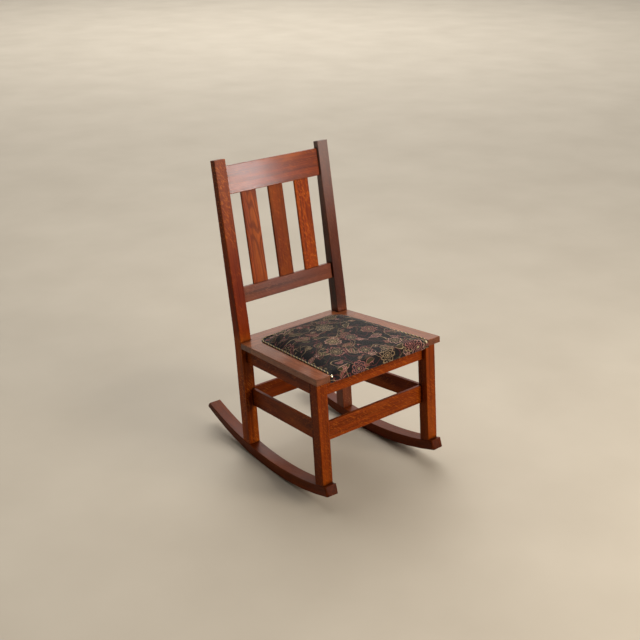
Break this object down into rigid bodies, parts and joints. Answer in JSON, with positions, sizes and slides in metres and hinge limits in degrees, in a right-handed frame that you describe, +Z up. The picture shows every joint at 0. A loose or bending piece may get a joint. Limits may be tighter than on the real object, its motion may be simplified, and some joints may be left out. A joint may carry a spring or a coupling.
{
  "type": "armless rocking chair",
  "caption": "Armless oak rocking chair on curved runners, with a raked slatted back and an upholstered panel in tapestry let into a flat wooden seat.",
  "frame": {"origin": "middle of the bounding box's underside: on the chair's middle plane, on the floor it stands on", "axes": "+X towards the right of someone facing the chair, across its plane of symmetry; +Y from the seat's front towards the back; +Z up"},
  "size_m": [0.424, 0.5934, 0.8233],
  "materials": {
    "stained_oak": "quartersawn oak, dark red-brown stain, gloss varnish",
    "plain_wood": "unfinished hardwood",
    "cover_tapestry": "woven tapestry, black ground with rose, tan, olive and gold flowers and scrolls",
    "trim_cord": "gold and black twisted cord",
    "stuffing_fibre": "loose fibre",
    "burlap": "coarse plain weave",
    "webbing_jute": "jute webbing",
    "nail_brass": "polished",
    "screw_steel": "dull"
  },
  "bodies": {
    "root": {"apron_front": "stained_oak", "apron_left": "stained_oak", "apron_rear": "stained_oak", "apron_right": "stained_oak", "apron_screw_front_cross_left": "screw_steel", "apron_screw_front_cross_right": "screw_steel", "apron_screw_front_side_left": "screw_steel", "apron_screw_front_side_right": "screw_steel", "apron_screw_rear_cross_left": "screw_steel", "apron_screw_rear_cross_right": "screw_steel", "apron_screw_rear_side_left": "screw_steel", "apron_screw_rear_side_right": "screw_steel", "back_slat_centre": "stained_oak", "back_slat_left": "stained_oak", "back_slat_right": "stained_oak", "burlap": "burlap", "corner_block_front_left": "plain_wood", "corner_block_front_right": "plain_wood", "corner_block_rear_left": "plain_wood", "corner_block_rear_right": "plain_wood", "crest_rail": "stained_oak", "decorative_nail_left": "nail_brass", "decorative_nail_right": "nail_brass", "front_leg_left": "stained_oak", "front_leg_right": "stained_oak", "gimp_trim": "trim_cord", "lower_back_rail": "stained_oak", "rear_post_left": "stained_oak", "rear_post_right": "stained_oak", "rocker_left": "stained_oak", "rocker_right": "stained_oak", "rocker_screw_front_left": "screw_steel", "rocker_screw_front_right": "screw_steel", "rocker_screw_rear_left": "screw_steel", "rocker_screw_rear_right": "screw_steel", "seat_board_front": "plain_wood", "seat_board_left": "stained_oak", "seat_board_rear": "stained_oak", "seat_board_right": "stained_oak", "seat_cover": "cover_tapestry", "seat_screw_front_left": "screw_steel", "seat_screw_front_right": "screw_steel", "seat_screw_rear_left": "screw_steel", "seat_screw_rear_right": "screw_steel", "seat_stuffing": "stuffing_fibre", "stretcher_front": "stained_oak", "stretcher_left": "stained_oak", "stretcher_rear": "stained_oak", "stretcher_right": "stained_oak", "webbing_crosswise_1": "webbing_jute", "webbing_crosswise_2": "webbing_jute", "webbing_crosswise_3": "webbing_jute", "webbing_lengthwise_1": "webbing_jute", "webbing_lengthwise_2": "webbing_jute", "webbing_lengthwise_3": "webbing_jute"}
  },
  "joints": []
}
